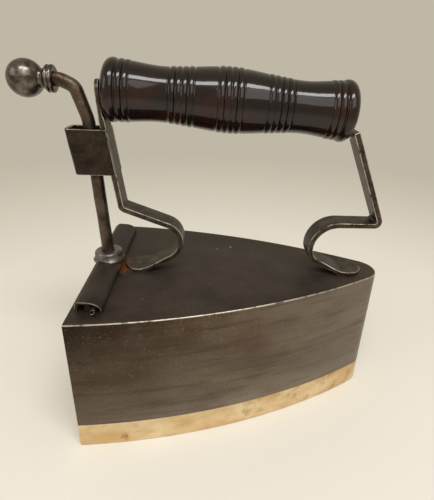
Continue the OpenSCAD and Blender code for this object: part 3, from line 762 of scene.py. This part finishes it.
GRIP_END_Z = TOP_Z + GRIP_Z - GRIP_L * sin(radians(SLOPE))
pillar = (GRIP_END_Z - SHOULDER_DROP - bar.z - corner_dz) / cos(radians(FRONT_LEAN))
half_bar = BAR_T / 2 / cos(radians(FRONT_LEAN))
pillar_top_x = GRIP_END_X - SHOULDER_DROP * tan(radians(SLOPE)) + TONGUE_T - 0.6 + half_bar
bar.grow(pillar_top_x + pillar * sin(radians(FRONT_LEAN)) - bar.x - corner_dx, BAR_W, BAR_T)
bar.bend(FRONT_BEND, -90 - FRONT_LEAN, 12)
bar.grow(pillar, BAR_W, BAR_T)
tongue_x = GRIP_END_X + TONGUE_T / 2 - (SHOULDER_DROP + 2.4) * tan(radians(SLOPE))
tongue = Bar(bm, tongue_x, GRIP_END_Z - SHOULDER_DROP - 2.4, -SLOPE, TONGUE_T, 7.4)
tongue.grow(SHOULDER_DROP + 2.4, 7.4, TONGUE_T)
round_off(tongue, 3.7)
waver(bm, 9, 0.12, 5)
waver(bm, 5, 0.4, 3, [v for v in bm.verts if v.co.z < mm(TOP_Z + 1.8)])
finish_piece(bm, "front_scroll_bar", "iron", [BAR_IRON, BARE_EDGE], ["front_bracket"],
             sharp=14, edge_width=0.38, edge_angle=50)

# %% [markdown]
# ## Turned handle
#
# A turner cuts the handle on a lathe, so it is spun from a profile: two end beads, two necks, a
# belly, and five groups of rings. Each ring is a small round bead between sharp cuts,
# which is why the radius adds half a circle to the smooth curve and drops into a cut beside it.

# %% Handle
BEAD_D, NECK_REAR_D, BELLY_D, NECK_FRONT_D, SHAFT_D = 23.5, 20.4, 24.2, 19.6, 22.0
BEAD_L, NECK_REAR_U, BELLY_U, NECK_FRONT_U, PITCH = 4.9, 21.5, 48.0, GRIP_L - 19.6, 2.35
RING_GROUPS = ((BEAD_L + 0.5, 2), (24.6, 4), (43.2, 4), (62.2, 4), (GRIP_L - BEAD_L - 0.5 - 2 * PITCH, 2))


def ease(a, b, t):
    return a + (b - a) * (1 - cos(pi * t)) / 2


def grip_radius(u):
    if u < NECK_REAR_U:
        smooth = ease(SHAFT_D / 2 + 0.3, NECK_REAR_D / 2, (u - BEAD_L) / (NECK_REAR_U - BEAD_L))
    elif u < BELLY_U:
        smooth = ease(NECK_REAR_D / 2, BELLY_D / 2, (u - NECK_REAR_U) / (BELLY_U - NECK_REAR_U))
    elif u < NECK_FRONT_U:
        smooth = ease(BELLY_D / 2, NECK_FRONT_D / 2, (u - BELLY_U) / (NECK_FRONT_U - BELLY_U))
    else:
        smooth = ease(NECK_FRONT_D / 2, SHAFT_D / 2, (u - NECK_FRONT_U) / (GRIP_L - BEAD_L - NECK_FRONT_U))
    for start, count in RING_GROUPS:
        if start - 0.35 <= u <= start + count * PITCH + 0.35:
            t = ((u - start) / PITCH) % 1.0
            inside = start <= u <= start + count * PITCH
            smooth += 0.62 * sqrt(max(0.0, 1 - (2 * t - 1) ** 2)) - 0.38 if inside else -0.3
    return smooth


BEAD_ROUND, BEAD_DIP = 4.6, 0.75
profile = [(0, 0.25), (3.2, 0.05), (BEAD_D / 2 - BEAD_ROUND, 0)]
for k in range(1, 15):
    a = radians(180 * k / 15)
    ends = 3.6 if a < pi / 2 else 1.6
    inwards = BEAD_ROUND * (1 - sin(a)) if a < pi / 2 else BEAD_DIP * (1 - sin(a))
    profile.append((BEAD_D / 2 - inwards, 3.3 - ends * cos(a)))
profile = [p for p in profile if p[1] < BEAD_L]
front = [(r, GRIP_L - u) for r, u in reversed(profile)]
steps = int((GRIP_L - 2 * BEAD_L) / 0.15)
places = [BEAD_L + (GRIP_L - 2 * BEAD_L) * k / steps for k in range(steps + 1)]
profile += [(grip_radius(u), u) for u in places]
bm = bmesh.new()
lathe(bm, profile + front, 112)
waver(bm, 14, 0.08, 3)
put(bm, 90 + SLOPE, at(GRIP_X, 0, TOP_Z + GRIP_Z))
finish_piece(bm, "turned_handle", "iron", [WOOD], ["handle"], sharp=70)

# %% [markdown]
# ## Spindle, pins and rivets
#
# An iron spindle runs through the handle and is riveted over both tongues, so each end has a
# low dome. The pins and rivets through the wall were filed off flush and can't be seen from
# outside, so they stop a hair below the skin.

# %% Spindle
SPINDLE_D = 4.6
bm = bmesh.new()
end_u = GRIP_L + TONGUE_T
lathe(bm, [(0, -TONGUE_T - 1.1), (1.5, -TONGUE_T - 0.95), (2.7, -TONGUE_T - 0.55), (3.3, -TONGUE_T + 0.02),
           (SPINDLE_D / 2, -TONGUE_T + 0.02), (SPINDLE_D / 2, end_u - 0.02), (3.3, end_u - 0.02),
           (2.7, end_u + 0.55), (1.5, end_u + 0.95), (0, end_u + 1.1)], 40)
put(bm, 90 + SLOPE, at(GRIP_X, 0, TOP_Z + GRIP_Z))
finish_piece(bm, "riveted_spindle", "iron", [BAR_IRON], ["handle_spindle"])


# %% Pins and rivets in the wall
def wall_pins(name, node, places, pin_d, length):
    bm = bmesh.new()
    for x, z in places:
        for side in (-1, 1):
            made = bmesh.ops.create_cone(bm, cap_ends=True, segments=24, radius1=mm(pin_d / 2),
                                         radius2=mm(pin_d / 2), depth=mm(length))
            bmesh.ops.rotate(bm, cent=(0, 0, 0), matrix=Matrix.Rotation(radians(90), 3, "X"),
                             verts=made["verts"])
            outside = ARC_Y + sqrt(SIDE_R ** 2 - (x + pin_d / 2 - ARC_X) ** 2)
            bmesh.ops.translate(bm, vec=at(x, side * (outside - 0.6 - length / 2), z), verts=made["verts"])
    finish_piece(bm, name, "iron", [BAR_IRON], [node])


wall_pins("flush_pins", "sole_pins", [(s * BODY_LEN, SOLE_T + 2) for s in (0.185, 0.477, 0.738)], 2.5, 4.4)
wall_pins("flush_rivets", "guide_rivets", [(4.1, SOLE_T + 10), (4.1, SOLE_T + 35)], 2.2, 10)

# %% [markdown]
# ## Gate cap and rolled hem
#
# The gate hangs from a strip folded over its top edge. Its section rises steeply behind,
# is almost flat on top and curves down in front. The sheet is as thin as it looks at the near end,
# where a crumpled roll of the gate's own edge sticks out from under it.

# %% Gate cap
CAP_L, CAP_W, CAP_H, CAP_T, CAP_X, REST_GAP = 79.0, 10.2, 4.3, 0.9, ROD_X - 4.7, 0.2


def arch(wide, high, start, parts=8):
    """Points of the cap's section, from the foot of the rear leg to the foot of the front."""
    points = [(start, 0.0)]
    for k in range(parts + 1):
        a = pi / 2 * k / parts
        points.append((start + 1.9 - 1.9 * cos(a), high - 1.9 + 1.9 * sin(a)))
    for k in range(1, parts + 1):
        a = pi / 2 * k / parts
        points.append((start + 4.2 + (wide - 4.2) * sin(a), (high - 0.1) * cos(a) ** 0.9))
    return points


def chain_of(bm, points, y):
    verts = [bm.verts.new(at(x, y, TOP_Z + REST_GAP + z)) for x, z in points]
    return [bm.edges.new(pair) for pair in zip(verts, verts[1:])]


bm = bmesh.new()
over = chain_of(bm, arch(CAP_W, CAP_H, CAP_X), -CAP_L / 2)
under = chain_of(bm, arch(CAP_W - 2 * CAP_T, CAP_H - CAP_T, CAP_X + CAP_T), -CAP_L / 2)
faces = ring_between(bm, over, under)
for step in range(40):
    faces = extrude_on(bm, faces, (0, mm(CAP_L / 40), 0))
waver(bm, 11, 0.1, 7, [v for v in bm.verts if v.co.z > mm(TOP_Z + 1.2)])
finish_piece(bm, "folded_cap", "lift", [TOP_STEEL, BARE_EDGE], ["gate_cap"],
             sharp=20, edge_width=0.22, edge_angle=60)

# %% Rolled hem
bm = bmesh.new()
HEM_X, HEM_OUT = ROD_X + GATE_T / 2 + 1.35, 2.2
rolled = [(HEM_X - 1.2 * cos(radians(a)) * (1 - a / 900), 1.35 + 1.2 * sin(radians(a)))
          for a in range(20, 321, 25)]
thin = [(x + (HEM_X - x) * 0.42, z + (1.35 - z) * 0.42) for x, z in rolled]
faces = ring_between(bm, chain_of(bm, rolled, -CAP_L / 2 - HEM_OUT), chain_of(bm, thin, -CAP_L / 2 - HEM_OUT))
length = CAP_L + 2 * HEM_OUT
for step in range(60):
    faces = extrude_on(bm, faces, (0, mm(length / 60), 0))
ends = [v for v in bm.verts if abs(v.co.y) > mm(CAP_L / 2 - 1)]
waver(bm, 2.2, 0.6, 11, ends)
for vert in bm.verts:
    vert.co.z = max(vert.co.z, mm(TOP_Z + REST_GAP))
finish_piece(bm, "rolled_hem", "lift", [LOOP_IRON, BARE_EDGE], ["cap_hem"],
             edge_width=0.12, edge_angle=55)

# %% [markdown]
# ## Boss, rod and ball
#
# The boss is a short turned collar whose foot flares out over the cap. Its lower end is sunk
# into the cap, so that no gap shows under the flare.
# The rod is round bar, pushed and bent like the brackets.

# %% Boss
ROD_D, BOSS_D, BOSS_TOP = 5.2, 12.2, 7.7
bm = bmesh.new()
half = BOSS_D / 2
lathe(bm, [(0, 3.4), (half + 0.9, 3.4), (half + 0.95, 3.9), (half + 0.55, 4.3), (half + 0.2, 4.9),
           (half, 5.6),
           (half, BOSS_TOP - 1.1), (half - 0.12, BOSS_TOP - 0.6), (half - 0.45, BOSS_TOP - 0.2),
           (half - 1.0, BOSS_TOP - 0.02), (half - 2.0, BOSS_TOP + 0.02), (3.1, BOSS_TOP - 0.05),
           (2.7, BOSS_TOP - 0.35), (0, BOSS_TOP - 0.35)], 64)
waver(bm, 5, 0.15, 2)
put(bm, -LEAN, at(ROD_X, 0, TOP_Z))
finish_piece(bm, "collar_boss", "lift", [BOSS_STEEL], ["gate_boss"], sharp=50)

# %% Lift rod
bm = bmesh.new()
ROD_STRAIGHT, ROD_FOOT, COLLAR_T = 62.6, 0.9, 3.3
bar = Bar(bm, ROD_X - ROD_FOOT * sin(radians(LEAN)), TOP_Z + ROD_FOOT * cos(radians(LEAN)), -LEAN,
          ROD_D, ROD_D, sides=20)
for k in range(16):
    bar.push((ROD_STRAIGHT - ROD_FOOT) / 16)
bar.bend(16, -15, 6)
bar.push(8.2)
bar.bend(4.8, -47, 10)
bar.push(2)
bar.bend(8, -(28 - LEAN), 6)
KNOB_AT = (bar.x, bar.z)
bar.push(COLLAR_T - 0.4)
waver(bm, 6, 0.13, 4)
finish_piece(bm, "forged_rod", "lift", [ROD_STEEL], ["lift_rod"], sharp=60)
print("knob starts at", KNOB_AT)

# %% Ball knob
BALL_D, BALL_REACH, COLLAR_D = 13.9, 7.7, 10.2
ball_u = COLLAR_T + BALL_REACH
first = radians(31)
profile = [(0, 0.5), (2.7, 0.35), (COLLAR_D / 2 - 0.9, 0.0), (COLLAR_D / 2 - 0.25, 0.25),
           (COLLAR_D / 2, 0.8), (COLLAR_D / 2 - 0.1, 1.25), (COLLAR_D / 2 - 0.75, 1.55),
           (COLLAR_D / 2 - 0.7, 1.75), (COLLAR_D / 2 - 0.15, 2.0), (COLLAR_D / 2 - 0.05, 2.5),
           (COLLAR_D / 2 - 0.6, 3.1), (COLLAR_D / 2 - 1.5, 3.6)]
turns = [first + (pi - first) * k / 30 for k in range(31)]
profile += [(BALL_D / 2 * sin(turn), ball_u - BALL_D / 2 * cos(turn)) for turn in turns]
profile[-1] = (0, profile[-1][1])
bm = bmesh.new()
lathe(bm, profile, 72)
waver(bm, 6, 0.05, 9)
put(bm, -90, at(KNOB_AT[0], 0, KNOB_AT[1]))
finish_piece(bm, "ball_knob", "lift", [BALL_STEEL], ["knob"], sharp=75)

# %% [markdown]
# ## Guide loop
#
# A short band of sheet is bent into a U round the rod, and its two ends are brazed onto the sides of
# the pillar. The band leans with the pillar but its rims are level, so its section is moved up
# along a sheared way. The upper rim is rubbed bright.

# %% Guide loop
LOOP_L, LOOP_T, LOOP_H, LOOP_Z, LOOP_R = 16.6, 1.2, 18.0, 43.4, 2.8
lean_back = (TOP_Z + LOOP_Z - rear_corner[1]) * tan(radians(REAR_LEAN))
pillar_x = rear_corner[0] - lean_back + BAR_T / 2 / cos(radians(REAR_LEAN))


def band(bm, length, half, radius):
    """A U in plan, open to the front, as a chain of edges at the lower rim."""
    points = [(0, half)]
    for k in range(7):
        a = radians(15 * k)
        points.append((-length + radius - radius * sin(a), half - radius + radius * cos(a)))
    points += [(x, -y) for x, y in reversed(points)]
    verts = [bm.verts.new(at(pillar_x + x, y, TOP_Z + LOOP_Z)) for x, y in points]
    return [bm.edges.new(pair) for pair in zip(verts, verts[1:])]


bm = bmesh.new()
outside = band(bm, LOOP_L, BAR_W / 2 + LOOP_T, LOOP_R)
inside = band(bm, LOOP_L - LOOP_T, BAR_W / 2 + 0.03, LOOP_R - LOOP_T)
faces = ring_between(bm, outside, inside)
for step in range(8):
    rise = mm(LOOP_H / 8)
    faces = extrude_on(bm, faces, (-rise * tan(radians(REAR_LEAN)), 0, rise))
waver(bm, 8, 0.14, 6)
finish_piece(bm, "rod_guide_band", "iron", [LOOP_IRON, BARE_EDGE], ["guide_loop"],
             sharp=18, edge_width=0.25, edge_angle=55)

# %% [markdown]
# ## Floor, light and background
#
# The iron stands on a plain pale floor that fades into a pale room, so nothing but the iron
# has a shape. A window lamp is high on the nose side behind the camera, a long skylight draws
# the bright band along the handle, and a weak lamp fills from the rear.
# The world is the pale wall that the metal mirrors.

# %% Stage
floor_bm = bmesh.new()
bmesh.ops.create_circle(floor_bm, cap_ends=True, segments=96, radius=1.6)
bmesh.ops.translate(floor_bm, vec=(0, 0, -mm(0.05)), verts=floor_bm.verts)
floor_mesh = bpy.data.meshes.new("floor")
floor_bm.to_mesh(floor_mesh)
floor_bm.free()
floor = bpy.data.objects.new("floor", floor_mesh)
bpy.context.scene.collection.objects.link(floor)

floor_mat, floor_shader, floor_mm = new_material("pale_floor", Roughness=0.7)
floor_shader.inputs["Base Color"].default_value = linear("#e8e4dc")
reach = add(floor_mat, "VectorMath", {0: floor_mm}, operation="LENGTH").outputs["Value"]
clear = add(floor_mat, "BsdfTransparent")
fade = add(floor_mat, "MixShader", {0: mask(floor_mat, reach, 190, 520), 1: floor_shader.outputs[0],
                                    2: clear.outputs[0]})
floor_mat.node_tree.links.new(fade.outputs[0], floor_mat.node_tree.nodes["Material Output"].inputs[0])
floor_mesh.materials.append(floor_mat)

world = bpy.data.worlds.new("pale_room")
world.use_nodes = True
world.node_tree.nodes["Background"].inputs[0].default_value = linear("#bfb8a6")
world.node_tree.nodes["Background"].inputs[1].default_value = 1.0
bpy.context.scene.world = world


def window(name, place, aim, wide, high, radiance):
    """A soft rectangular lamp; its power is its radiance times pi times its area."""
    data = bpy.data.lights.new(name, "AREA")
    data.shape = "RECTANGLE"
    data.size, data.size_y = wide, high
    data.energy = radiance * pi * wide * high
    lamp = bpy.data.objects.new(name, data)
    bpy.context.scene.collection.objects.link(lamp)
    lamp.location = place
    lamp.rotation_euler = (Vector(aim) - Vector(place)).to_track_quat("-Z", "Y").to_euler()


window("window_lamp", (0.30, -0.62, 0.62), (0, 0, 0.09), 0.70, 0.50, 1.7)
window("skylight", (0.05, -0.35, 0.82), (0, 0, 0.13), 0.58, 0.17, 12.0)
window("fill_lamp", (-0.70, -0.30, 0.45), (0, 0, 0.08), 0.40, 0.40, 1.6)
bpy.context.scene.view_settings.view_transform = "Standard"
